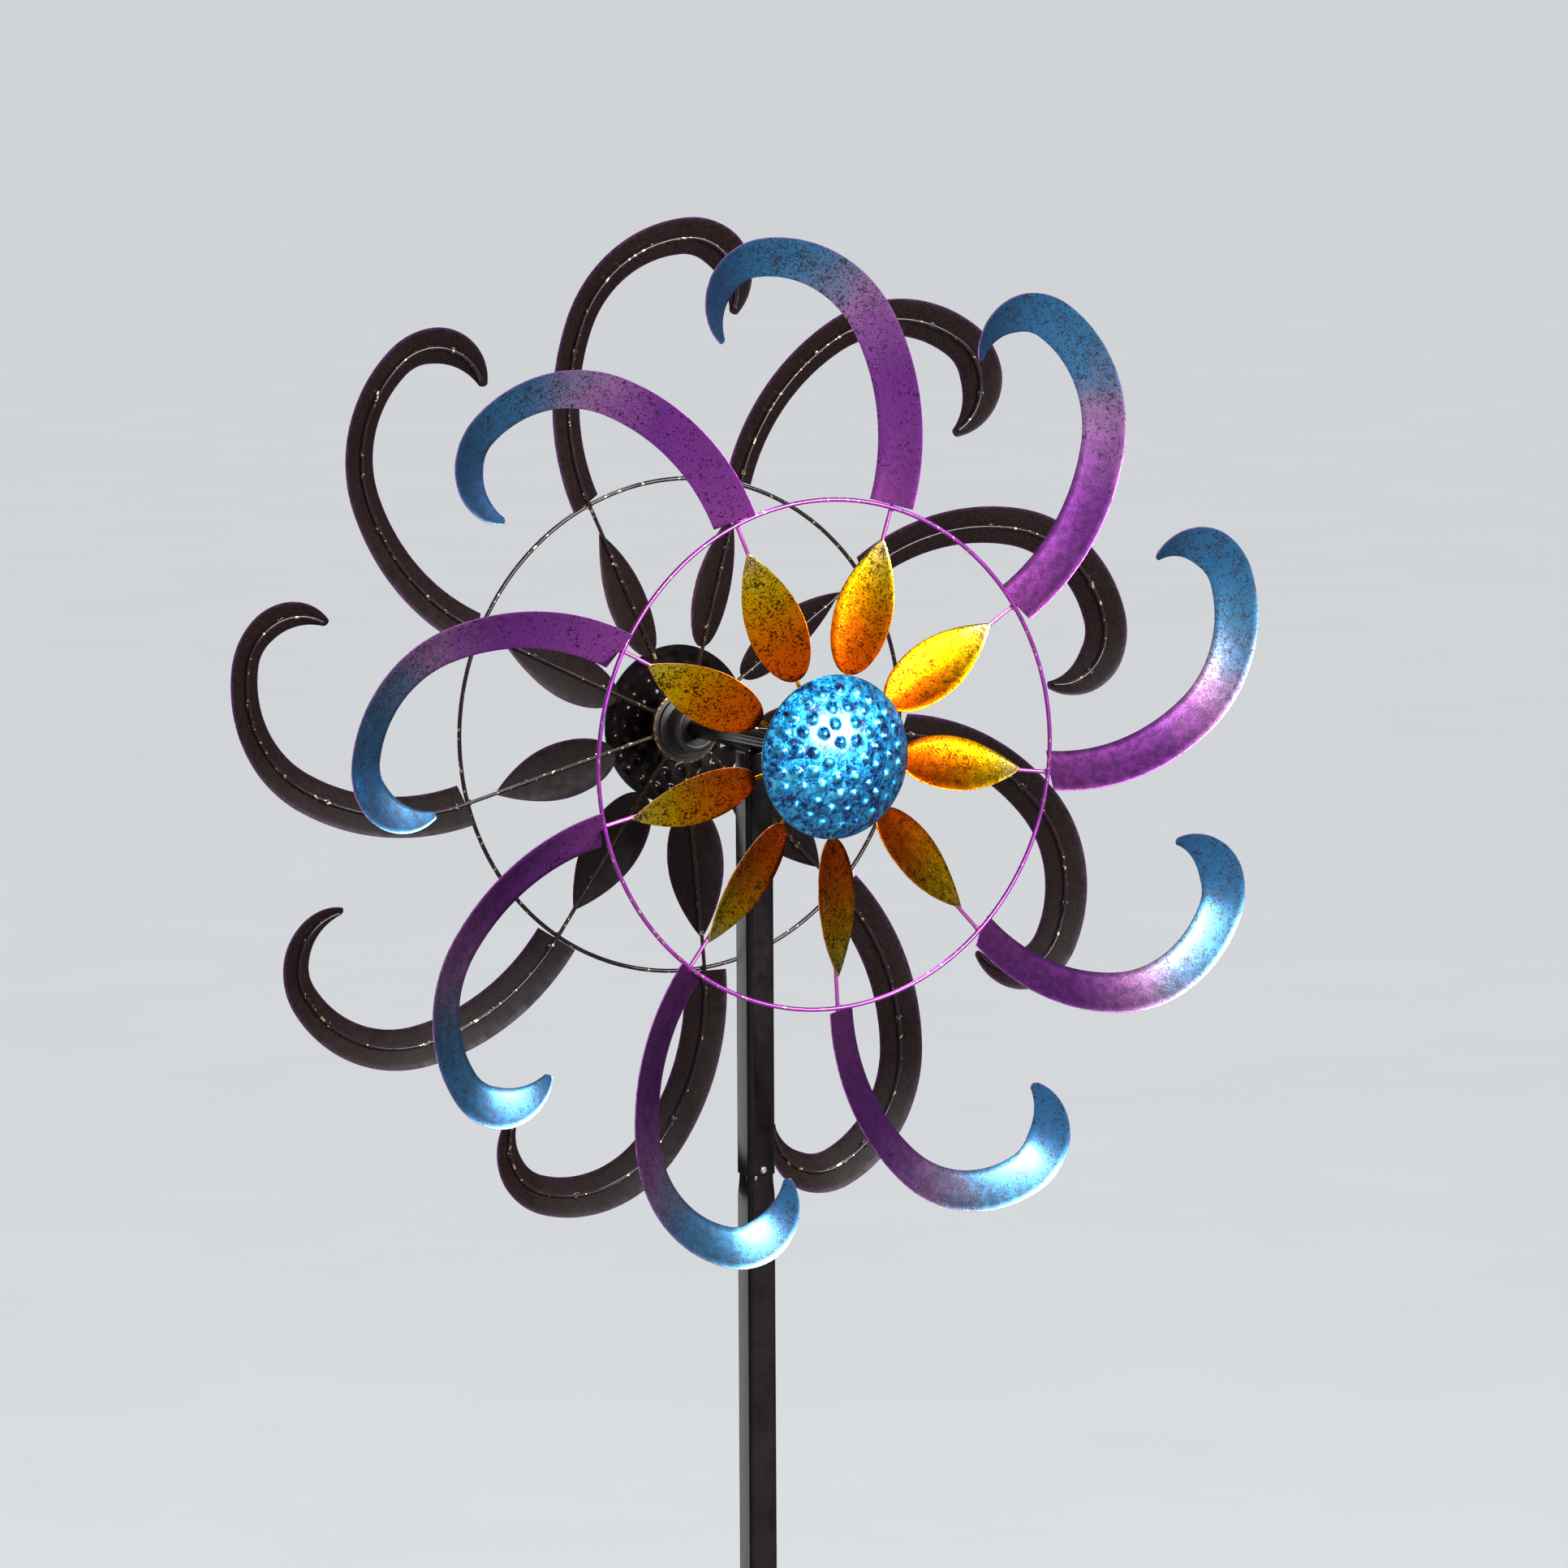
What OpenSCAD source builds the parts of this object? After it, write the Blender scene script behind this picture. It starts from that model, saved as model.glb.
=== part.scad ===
// Twin-rotor kinetic wind spinner on a sectional square post.
// The origin is on the post's axis at the soil line, +Z is up and -Y is the front.
// Each rotor is drawn face up about its own +Z, then stood up on the axle.
// The rear rotor's sheets are pitched the other way, so that one wind turns the rotors against each other.

/* [Rotors] */
// Number of petals and of blades on each rotor
arm_count = 9; // [7:1:11]
// Distance between the two ring planes along the axle
rotor_spacing = 183; // [170:1:220]
// Angle of the front rotor's first arm
front_phase = 32.8; // [0:0.1:39.9]
// Angle of the rear rotor's first arm
rear_phase = 25.2; // [0:0.1:39.9]

/* [Wire frame] */
// Centre-line radius of the outer ring
ring_r = 152.4; // [145:0.2:160]
// Diameter of the ring's wire
ring_wire_d = 2.6; // [2.2:0.1:3]
// Diameter of each arm's wire
arm_wire_d = 2.4; // [2:0.1:2.8]
// Radius at which the arm wires start, over the hub flange
arm_start_r = 14.5; // [14:0.5:18]

/* [Blades] */
// Bend radii of the blade's three arcs, from the ring to the tip
blade_bend_r = [143, 78, 33]; // [30:1:160]
// Angle that each of the three arcs turns through
blade_bend_angle = [45, 67, 117]; // [40:1:120]
// Full width of the blade's strip
blade_w = 26.4; // [22:0.2:28]
// Width of the blade at its tip
blade_tip_w = 5; // [4:0.5:8]
// Share of the length that keeps its full width
blade_full_share = 0.84; // [0.7:0.01:0.9]
// Pitch of the strip about its own wire
blade_pitch = 29; // [20:1:34]
// Lean of the whole blade about its spoke
blade_lean = 3; // [0:1:6]
// Thickness of the sheet metal
sheet_t = 1; // [0.8:0.1:1.2]

/* [Petals] */
// Radius of the petal's round inner end
petal_start_r = 49.5; // [49:0.5:56]
// Radius of the petal's pointed outer end
petal_end_r = 133.5; // [125:0.5:140]
// Full width of a petal
petal_w = 35; // [28:1:36]
// Pitch of a petal about its spoke
petal_pitch = 24; // [15:1:35]
// Share of the length at which a petal is widest
petal_belly_share = 0.42; // [0.35:0.01:0.5]

/* [Dome cap] */
// Radius of the dome's rim
dome_r = 49; // [45:0.5:49]
// Height of the dome from rim to crown
dome_h = 16; // [12:0.5:18]
// Distance of the dome's rim in front of the arm wires
dome_rim_z = 13; // [11:0.5:14]

/* [Hub and bearings] */
// Radius of the hub's flange, which the arm wires are welded to
flange_r = 23; // [21:0.5:25]
// Radius of the step behind the flange
hub_step_r = 19.5; // [18:0.5:20]
// Outer radius of the hub's bearing boss
boss_r = 15; // [14:0.5:16]
// Radius of the hub's front spigot, which carries the dome
spigot_r = 13; // [12.5:0.1:13]
// Outer radius of a ball bearing
bearing_r = 11; // [11:1:11]
// Width of a ball bearing
bearing_w = 7; // [7:1:7]
// Number of balls in a bearing
ball_count = 7; // [6:1:8]

/* [Axle] */
// Radius of the threaded axle rod
rod_r = 4; // [4:1:4]
// Outer radius of the axle tube on top of the post
axle_tube_r = 6; // [6:0.5:6]

/* [Post and stake] */
// Height of the axle above the soil
axle_height = 1400; // [1200:10:1600]
// Width of the square post
post_w = 18.5; // [16:0.5:20]
// Wall thickness of the post's tubes
post_wall = 1.2; // [1:0.1:1.5]
// Radius of the post's long corners
post_corner_r = 3.5; // [2.5:0.5:4]
// Length of the top section, from its closed end to the first joint
upper_length = 259.5; // [220:0.5:320]
// Length of a section's neck inside the section above it
neck_length = 55; // [40:1:70]
// Depth that the prongs reach below the soil
prong_depth = 195; // [150:5:220]
// Radius of a prong
prong_r = 4; // [3:0.5:5]
// Radius of the circle that the prongs stand on
prong_circle_r = 50; // [40:1:60]

/* [Hidden] */
arms = [1 : arm_count];

$fn = 64;
arm_step = 360 / arm_count;
arm_wire_r = arm_wire_d / 2;
ring_wire_r = ring_wire_d / 2;
weld_gap = 0.1;                       // space left for the weld between touching wires and sheets
wire_sides = 8;                       // flats around a bent wire
overlap = 0.01;                       // extra length where one shape cuts another

// Blade path: three arcs that run on from each other, measured by their heading.
heading_1 = blade_bend_angle[0];
heading_2 = heading_1 + blade_bend_angle[1];
heading_end = heading_2 + blade_bend_angle[2];
arc_starts = [0, heading_1, heading_2];
blade_root_r = ring_r + ring_wire_r + 0.5;
blade_steps = [8, 10, 18];            // stations on each arc
blade_headings = [for (arc = [0 : 2], k = [0 : blade_steps[arc] - 1])
    arc_starts[arc] + blade_bend_angle[arc] * k / blade_steps[arc]];
tip_cap_angle = 2.5;                  // extra turn that rounds off the tip

// Places along a rotor's own axis, with the arm wires at zero and the front positive.
rear_bearing_z = -17;
front_bearing_z = 6;
hub_back_z = rear_bearing_z - 1;
hub_front_z = front_bearing_z + bearing_w + 1;
flange_top_z = -arm_wire_r - weld_gap;
flange_t = 2;
step_bottom_z = -5.5;
shoulder_r = 9.5;
washer_t = 1.2;
nut_h = 6.5;
rod_past_nut = 2.3;
rod_end_z = front_bearing_z + bearing_w + washer_t + nut_h + rod_past_nut;

// Ball bearing
inner_race_r = 6;
outer_race_bore_r = 9;
ball_path_r = (bearing_r + rod_r) / 2;
ball_r = 1.985;
groove_r = 2.05;
shield_t = 0.4;
shield_r = 6.3;
race_fit = 0.01;
rod_fit = 0.03;
tube_fit = 0.05;

// Dome shell, a cap of two spheres about one centre
dome_t = 1;
dome_sphere_r = (dome_r * dome_r + dome_h * dome_h) / (2 * dome_h);
dome_centre_z = dome_rim_z + dome_h - dome_sphere_r;
stem_wall = 2;
stem_start_z = 3;
stem_end_z = dome_centre_z + sqrt(pow(dome_sphere_r - dome_t, 2) - pow(spigot_r, 2)) + dome_t / 4;

// Post heights, from the axle down
post_top_z = axle_height - axle_tube_r + 1.5;
upper_bottom_z = axle_height - axle_tube_r - upper_length;
fork_plate_t = 4;
lower_top_z = (upper_bottom_z + fork_plate_t) / 2;
top_plug = 10;
top_round_r = 3;
neck_w = post_w - 2 * post_wall - 0.2;
neck_corner_r = post_corner_r - post_wall;
saddle_fit = 0.02;
axle_tube_half = rotor_spacing / 2 + rear_bearing_z;
screw_r = 1.6;
screw_head_r = 2.3;
screw_head_h = 1.4;
screw_length = 6;
screw_up = 3.2;                       // height of a joint screw above its joint
bar_length = 120;
bar_w = 20;
prong_tip = 22;

// ---- placing -------------------------------------------------------------

// Stands a rotor's own frame up on the axle: the front one faces -Y, the rear one +Y.
module on_rotor(rotor) {
    turn = rotor == "front" ? 0 : 180;
    translate([0, 0, axle_height])
        rotate([90, 0, turn])
            translate([0, 0, rotor_spacing / 2]) children();
}

// Turns a piece to arm number i of a rotor.
module on_arm(rotor, i) {
    phase = rotor == "front" ? front_phase : rear_phase;
    on_rotor(rotor) rotate([0, 0, phase + arm_step * (i - 1)]) children();
}

// Both ends of the axle
module on_both_ends() {
    for (rotor = ["front", "rear"]) on_rotor(rotor) children();
}

// The way in which a rotor's sheets are pitched
function pitch_side(rotor) = rotor == "front" ? 1 : -1;

// ---- blade path ----------------------------------------------------------

function arc_from(start, radius, from, to) =
    start + radius * [sin(to) - sin(from), cos(from) - cos(to)];

function path_point(heading) =
    heading <= heading_1 ? arc_from([0, 0], blade_bend_r[0], 0, heading) :
    heading <= heading_2 ? arc_from(path_point(heading_1), blade_bend_r[1], heading_1, heading) :
    arc_from(path_point(heading_2), blade_bend_r[2], heading_2, heading);

function path_length(heading) =
    heading <= heading_1 ? blade_bend_r[0] * heading * PI / 180 :
    heading <= heading_2 ? path_length(heading_1) + blade_bend_r[1] * (heading - heading_1) * PI / 180 :
    path_length(heading_2) + blade_bend_r[2] * (heading - heading_2) * PI / 180;

// Half width of the strip: full along most of it, then tapering to the tip
function half_width(heading) =
    let (share = min(1, path_length(heading) / path_length(heading_end)))
    let (taper = max(0, (share - blade_full_share) / (1 - blade_full_share)))
    heading > heading_end ? blade_tip_w / 4 :
    blade_tip_w / 2 + (blade_w - blade_tip_w) / 2 * (1 - pow(taper, 1.6));

// Four corners of the strip's cross-section: convex edge, then concave edge, back then front
function strip_section(heading, pitch) =
    let (inward = [-sin(heading), cos(heading)])
    let (across = [inward[0] * cos(pitch), inward[1] * cos(pitch), -sin(pitch)])
    let (up = [inward[0] * sin(pitch), inward[1] * sin(pitch), cos(pitch)])
    let (point = path_point(heading))
    let (back = [point[0], point[1], 0] + up * (arm_wire_r + weld_gap))
    let (front = back + up * sheet_t)
    let (reach = across * half_width(heading))
    [back - reach, back + reach, front + reach, front - reach];

// Corners of the wire's cross-section
function wire_section(heading) =
    let (inward = [-sin(heading), cos(heading)])
    let (point = path_point(heading))
    [for (k = [0 : wire_sides - 1])
        let (reach = arm_wire_r * cos(360 * k / wire_sides))
        [point[0] + inward[0] * reach, point[1] + inward[1] * reach,
            arm_wire_r * sin(360 * k / wire_sides)]];

// A solid swept through cross-sections that all have the same number of corners
module ring_solid(rings) {
    n = len(rings[0]);
    last = len(rings) - 1;
    sides = [for (k = [0 : last - 1], j = [0 : n - 1])
        [n * k + j, n * k + (j + 1) % n, n * k + n + (j + 1) % n, n * k + n + j]];
    caps = [[for (j = [n - 1 : -1 : 0]) j], [for (j = [0 : n - 1]) n * last + j]];
    triangles = [for (face = concat(sides, caps), k = [1 : len(face) - 2]) [face[0], face[k], face[k + 1]]];
    polyhedron([for (section = rings, corner = section) corner], triangles);
}

// ---- rotor pieces --------------------------------------------------------

// Hooked sheet blade, welded along the front of its arm's wire
module blade(rotor) {
    pitch = pitch_side(rotor) * blade_pitch;
    headings = concat(blade_headings, [heading_end, heading_end + tip_cap_angle]);
    translate([blade_root_r, 0, 0])
        rotate([-blade_lean, 0, 0])
            ring_solid([for (heading = headings) strip_section(heading, pitch)]);
}

// Almond petal: a round inner end and a pointed outer end
module petal(rotor) {
    length = petal_end_r - petal_start_r;
    steps = 14;
    function petal_half(share) = petal_w / 2 * (share < petal_belly_share ?
        sqrt(1 - pow(1 - share / petal_belly_share, 2)) :
        pow(cos(90 * (share - petal_belly_share) / (1 - petal_belly_share)), 0.85));
    // The stations crowd towards both ends, where the outline turns fastest.
    shares = [for (k = [1 : steps - 1]) (1 - cos(180 * k / steps)) / 2];
    edge = [for (share = shares) [petal_start_r + length * share, petal_half(share)]];
    outline = concat(
        [[petal_start_r, 0]], [for (p = edge) [p[0], -p[1]]],
        [[petal_end_r, 0]], [for (k = [len(edge) - 1 : -1 : 0]) edge[k]]
    );
    rotate([-pitch_side(rotor) * petal_pitch, 0, 0])
        translate([0, 0, arm_wire_r + weld_gap])
            linear_extrude(sheet_t) polygon(outline);
}

// One wire: straight from the hub to the ring, then bent along the blade's path to its tip
module arm_wire() {
    start = [for (corner = wire_section(0)) corner - [blade_root_r - arm_start_r, 0, 0]];
    bends = [for (heading = concat(blade_headings, [heading_end - tip_cap_angle])) wire_section(heading)];
    translate([blade_root_r, 0, 0])
        rotate([-blade_lean, 0, 0])
            ring_solid(concat([start], bends));
}

// Nine arm wires that run from the hub, behind the petals and blades, to the blade tips
module arm_wires(rotor) {
    color("darkmagenta")
        for (i = arms) on_arm(rotor, i) arm_wire();
}

module outer_ring() {
    translate([0, 0, arm_wire_r + ring_wire_r + weld_gap])
        rotate_extrude() translate([ring_r, 0]) circle(ring_wire_r);
}

// Pressed dome cap with a welded stem that pushes over the hub's spigot
module dome() {
    stem_r = spigot_r + tube_fit;
    intersection() {
        difference() {
            translate([0, 0, dome_centre_z]) sphere(dome_sphere_r, $fn = 128);
            translate([0, 0, dome_centre_z]) sphere(dome_sphere_r - dome_t, $fn = 128);
        }
        translate([0, 0, dome_rim_z]) cylinder(r = dome_r, h = dome_h + 1);
    }
    translate([0, 0, stem_start_z]) difference() {
        cylinder(r = stem_r + stem_wall, h = stem_end_z - stem_start_z);
        translate([0, 0, -1]) cylinder(r = stem_r, h = stem_end_z - stem_start_z + 2);
    }
}

// Turned hub: flange, step, bearing boss and front spigot, with a seat for a bearing at each end
module hub() {
    chamfer = 2;
    seat_r = bearing_r + race_fit;
    rotate_extrude() polygon([
        [seat_r, hub_back_z], [boss_r - chamfer, hub_back_z], [boss_r, hub_back_z + chamfer],
        [boss_r, step_bottom_z], [hub_step_r, step_bottom_z],
        [hub_step_r, flange_top_z - flange_t], [flange_r, flange_top_z - flange_t],
        [flange_r, flange_top_z], [spigot_r, flange_top_z], [spigot_r, hub_front_z],
        [seat_r, hub_front_z], [seat_r, front_bearing_z], [shoulder_r, front_bearing_z],
        [shoulder_r, rear_bearing_z + bearing_w], [seat_r, rear_bearing_z + bearing_w]
    ]);
}

// ---- bearings ------------------------------------------------------------

// Both bearing places of one rotor
module at_bearings() {
    for (z = [rear_bearing_z, front_bearing_z]) translate([0, 0, z]) children();
}

module outer_race() {
    rotate_extrude() difference() {
        union() {
            translate([outer_race_bore_r, 0]) square([bearing_r - outer_race_bore_r, bearing_w]);
            for (z = [shield_t, bearing_w - 2 * shield_t])
                translate([shield_r, z]) square([outer_race_bore_r - shield_r + overlap, shield_t]);
        }
        translate([ball_path_r, bearing_w / 2]) circle(groove_r);
    }
}

module inner_race() {
    bore_r = rod_r + rod_fit;
    rotate_extrude() difference() {
        translate([bore_r, 0]) square([inner_race_r - bore_r, bearing_w]);
        translate([ball_path_r, bearing_w / 2]) circle(groove_r);
    }
}

module ball_ring() {
    for (k = [0 : ball_count - 1])
        rotate([0, 0, 360 / ball_count * k])
            translate([ball_path_r, 0, bearing_w / 2]) sphere(ball_r);
}

// ---- axle ----------------------------------------------------------------

module axle_washers() {
    color("silver") on_both_ends() translate([0, 0, front_bearing_z + bearing_w]) difference() {
        cylinder(r = 7, h = washer_t);
        translate([0, 0, -1]) cylinder(r = rod_r + 0.2, h = washer_t + 2);
    }
}

module axle_nuts() {
    color("silver") on_both_ends() translate([0, 0, front_bearing_z + bearing_w + washer_t]) difference() {
        cylinder(r = 7.5, h = nut_h, $fn = 6);
        translate([0, 0, -1]) cylinder(r = rod_r + rod_fit, h = nut_h + 2);
    }
}

// Threaded rod through the tube and both rotors
module axle_rod() {
    half = rotor_spacing / 2 + rod_end_z;
    color("gray") translate([0, half, axle_height]) rotate([90, 0, 0]) cylinder(r = rod_r, h = 2 * half);
}

// Round tube welded across the top of the post
module axle_tube() {
    color([0.12, 0.1, 0.1]) translate([0, axle_tube_half, axle_height]) rotate([90, 0, 0]) difference() {
        cylinder(r = axle_tube_r, h = 2 * axle_tube_half);
        translate([0, 0, -1]) cylinder(r = rod_r + tube_fit, h = 2 * axle_tube_half + 2);
    }
}

// ---- post ----------------------------------------------------------------

// Square with round corners, centred
module round_square(width, corner) {
    inner = width - 2 * corner;
    square([width, inner], center = true);
    square([inner, width], center = true);
    for (x = [-1, 1], y = [-1, 1]) translate([x, y] * inner / 2) circle(corner);
}

module square_tube(length) {
    linear_extrude(length) difference() {
        round_square(post_w, post_corner_r);
        round_square(post_w - 2 * post_wall, post_corner_r - post_wall);
    }
}

// Side view of a bar whose top edges are rounded
module round_top_side(height) {
    flat = post_w - 2 * top_round_r;
    translate([-post_w / 2, 0]) square([post_w, height - top_round_r]);
    translate([-flat / 2, 0]) square([flat, height]);
    for (x = [-1, 1]) translate([x * flat / 2, height - top_round_r]) circle(top_round_r);
}

// Closed plug at the top of the post, rounded along its top edges
module top_cap() {
    intersection() {
        linear_extrude(top_plug) round_square(post_w, post_corner_r);
        translate([0, post_w, 0]) rotate([90, 0, 0]) linear_extrude(2 * post_w) round_top_side(top_plug);
        rotate([0, 0, 90]) translate([0, post_w, 0]) rotate([90, 0, 0])
            linear_extrude(2 * post_w) round_top_side(top_plug);
    }
}

// Holes for a joint's screws, through the front wall of a section and the neck inside it
module screw_hole(joint_z) {
    translate([0, 0, joint_z + screw_up]) rotate([90, 0, 0]) cylinder(r = screw_r + tube_fit, h = post_w);
}

// Top section: closed above, with a saddle for the axle tube
module post_upper() {
    color([0.12, 0.1, 0.1]) difference() {
        union() {
            translate([0, 0, upper_bottom_z]) square_tube(post_top_z - top_plug - upper_bottom_z);
            translate([0, 0, post_top_z - top_plug]) top_cap();
        }
        translate([0, post_w, axle_height]) rotate([90, 0, 0])
            cylinder(r = axle_tube_r + saddle_fit, h = 2 * post_w);
        screw_hole(upper_bottom_z);
    }
}

// A section with a narrowed neck that slides into the section above it
module necked_section(bottom_z, top_z) {
    shoulder_t = 2;
    translate([0, 0, bottom_z]) square_tube(top_z - bottom_z);
    translate([0, 0, top_z - shoulder_t]) linear_extrude(neck_length + shoulder_t) difference() {
        round_square(neck_w, neck_corner_r);
        round_square(neck_w - 2 * post_wall, neck_corner_r / 2);
    }
    translate([0, 0, top_z - shoulder_t]) linear_extrude(shoulder_t) difference() {
        round_square(post_w - post_wall, post_corner_r - post_wall / 2);
        round_square(neck_w - post_wall, neck_corner_r / 2);
    }
}

module post_middle() {
    color([0.13, 0.11, 0.11]) difference() {
        necked_section(lower_top_z, upper_bottom_z);
        screw_hole(upper_bottom_z);
        screw_hole(lower_top_z);
    }
}

module post_lower() {
    color([0.14, 0.12, 0.12]) difference() {
        necked_section(fork_plate_t, lower_top_z);
        screw_hole(lower_top_z);
        screw_hole(fork_plate_t);
    }
}

// One small screw at each joint, in the front face
module joint_screws() {
    color("silver") for (z = [upper_bottom_z, lower_top_z, fork_plate_t])
        translate([0, -post_w / 2, z + screw_up]) rotate([90, 0, 0]) {
            cylinder(r = screw_head_r, h = screw_head_h);
            translate([0, 0, -screw_length]) cylinder(r = screw_r, h = screw_length + overlap);
        }
}

// Ground fork: a spigot in the lowest section, two crossed bars and four prongs
module ground_fork() {
    color([0.12, 0.1, 0.1]) difference() {
        union() {
            translate([0, 0, overlap])
                linear_extrude(fork_plate_t + neck_length) round_square(neck_w, neck_corner_r);
            for (turn = [0, 90]) rotate([0, 0, turn])
                translate([-bar_length / 2, -bar_w / 2, 0]) cube([bar_length, bar_w, fork_plate_t]);
            for (turn = [0 : 90 : 270]) rotate([0, 0, turn]) translate([prong_circle_r, 0, 0]) prong();
        }
        screw_hole(fork_plate_t);
    }
}

module prong() {
    translate([0, 0, prong_tip - prong_depth]) cylinder(r = prong_r, h = prong_depth - prong_tip + 1);
    translate([0, 0, -prong_depth]) cylinder(r1 = 0.6, r2 = prong_r, h = prong_tip);
}

// ---- nodes ---------------------------------------------------------------

for (rotor = ["front", "rear"]) {
    for (i = arms) {
        color("mediumpurple") on_arm(rotor, i) blade(rotor);
        color("goldenrod") on_arm(rotor, i) petal(rotor);
    }
    color("deepskyblue") on_rotor(rotor) dome();
    color("purple") on_rotor(rotor) outer_ring();
    arm_wires(rotor);
    color("dimgray") on_rotor(rotor) hub();
    color("silver") on_rotor(rotor) at_bearings() outer_race();
    color("white") on_rotor(rotor) at_bearings() ball_ring();
}
color("silver") on_both_ends() at_bearings() inner_race();  // inner_races
axle_washers();
axle_nuts();
axle_rod();
axle_tube();
post_upper();
post_middle();
post_lower();
joint_screws();
ground_fork();
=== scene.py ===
"""Looks of a twin-rotor wind spinner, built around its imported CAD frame.

Pieces are drawn in millimetres, in a rotor's own frame or about the post, and placed in the frame's metres.
"""
import math

import bmesh
import bpy
import numpy as np
from mathutils import Matrix, Vector


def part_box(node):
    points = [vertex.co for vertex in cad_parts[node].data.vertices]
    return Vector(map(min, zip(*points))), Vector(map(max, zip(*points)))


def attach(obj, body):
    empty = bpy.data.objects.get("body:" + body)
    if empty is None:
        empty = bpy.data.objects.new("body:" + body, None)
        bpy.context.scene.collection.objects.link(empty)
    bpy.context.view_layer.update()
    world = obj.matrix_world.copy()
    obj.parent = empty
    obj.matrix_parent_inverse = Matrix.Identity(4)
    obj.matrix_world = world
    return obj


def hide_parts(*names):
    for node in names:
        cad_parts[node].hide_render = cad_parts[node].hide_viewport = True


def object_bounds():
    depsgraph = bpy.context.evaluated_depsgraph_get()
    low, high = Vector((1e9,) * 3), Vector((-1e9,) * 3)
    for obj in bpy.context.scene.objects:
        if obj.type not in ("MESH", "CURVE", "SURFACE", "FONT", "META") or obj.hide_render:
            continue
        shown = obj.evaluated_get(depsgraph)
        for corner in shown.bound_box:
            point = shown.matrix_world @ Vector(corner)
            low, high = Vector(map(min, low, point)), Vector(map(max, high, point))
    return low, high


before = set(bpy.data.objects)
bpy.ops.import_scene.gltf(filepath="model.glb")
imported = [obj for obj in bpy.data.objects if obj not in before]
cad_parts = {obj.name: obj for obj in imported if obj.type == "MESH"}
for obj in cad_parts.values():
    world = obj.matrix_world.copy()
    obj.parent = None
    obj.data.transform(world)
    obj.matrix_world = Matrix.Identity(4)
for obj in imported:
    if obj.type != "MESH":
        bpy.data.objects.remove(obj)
cad_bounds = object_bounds()

MM = 0.001
ROTORS = ("front", "rear")
ARMS = range(1, 10)
ARM_STEP = 40
FIRST_ARM = {"front": 32.8, "rear": 25.2}
PITCH_SIDE = {"front": 1, "rear": -1}  # the rear sheets are pitched the other way


def centre(node):
    low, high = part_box(node)
    return (low + high) / 2 / MM


def extent(node):
    low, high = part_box(node)
    return (high - low) / MM


# Sizes in millimetres. A rotor's own frame has its face up, and its arm wires at height zero.
WELD_GAP = 0.1
ARM_WIRE_R = 1.2
RING_WIRE_R = extent("front_ring").y / 2
RING_R = extent("front_ring").x / 2 - RING_WIRE_R
RING_Z = ARM_WIRE_R + WELD_GAP + RING_WIRE_R
HALF_SPACING = -centre("front_ring").y - RING_Z
AXLE_HEIGHT = centre("front_ring").z
ARM_START_R = 14.5
HUB_WELD_R, PETAL_WELD_R = (18, 22), (62, 112)  # how far out an arm wire's weld spots are
BLADE_WELD_AT = (6, 95, 180, 240)  # and how far along the blade's path

SHEET_T = 1.0
SHEET_Z = ARM_WIRE_R + WELD_GAP
BLADE_ROOT_R = RING_R + RING_WIRE_R + 0.5
BEND_R = (143, 78, 33)  # the blade's three arcs, from its root
BEND_ANGLE = (45, 67, 117)
BLADE_HALF, BLADE_TIP_HALF = 13.2, 2.5
BLADE_FULL_SHARE = 0.84
BLADE_PITCH = math.radians(29)
BLADE_LEAN = math.radians(3)
PETAL_START_R, PETAL_END_R = 49.5, 133.5
PETAL_HALF = 17.5
PETAL_PITCH = math.radians(24)
PETAL_BELLY = 0.42

DOME_R, DOME_H, DOME_RIM_Z, DOME_T = 49.0, 16.0, 13.0, 1.0
DOME_SPHERE_R = (DOME_R**2 + DOME_H**2) / (2 * DOME_H)
DOME_CENTRE_Z = DOME_RIM_Z + DOME_H - DOME_SPHERE_R
STEM_R, STEM_WALL, STEM_START_Z = 13.05, 2.0, 3.0
BUMP_RINGS = ((12.3, 6), (22.3, 12), (31.8, 17), (41.2, 22))  # radius, number of bumps
BUMP_R, BUMP_H = 3.9, 1.6

FLANGE_R, STEP_R, BOSS_R, SPIGOT_R = 23.0, 19.5, 15.0, 13.0
FLANGE_T, STEP_BACK_Z, HUB_BACK_Z, SPIGOT_TOP_Z = 2.0, -5.5, -18.0, 14.0
SEAT_R, SHOULDER_R, SHOULDER_Z = 11.01, 9.5, (-10, 6)  # the two bearing seats and what is between

POST_HALF = extent("post_upper").x / 2
POST_CORNER_R, POST_WALL = 3.5, 1.2
POST_TOP_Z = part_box("post_upper")[1].z / MM
JOINT_HEIGHTS = [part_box(node)[0].z / MM for node in ("post_upper", "post_middle", "post_lower")]
SWAGE_LENGTH = 15.0
NECK_HALF, NECK_LENGTH = POST_HALF - POST_WALL - 0.1, 55.0
SCREW_ABOVE_JOINT = 3.2
PRONG_AT, PRONG_WELD_R = 50, 4.2
BAR_WELD_AT, BAR_WELD_REACH = 10.2, 9.5
SHARP_ANGLE = math.radians(38)


# ---- placing ---------------------------------------------------------------

def rotor_matrix(rotor):
    """From a rotor's own frame in millimetres to its end of the axle, in metres."""
    return (
        Matrix.Translation((0, 0, AXLE_HEIGHT * MM))
        @ Matrix.Rotation(0 if rotor == "front" else math.pi, 4, "Z")
        @ Matrix.Rotation(math.pi / 2, 4, "X")
        @ Matrix.Translation((0, 0, HALF_SPACING * MM))
        @ Matrix.Scale(MM, 4)
    )


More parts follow.
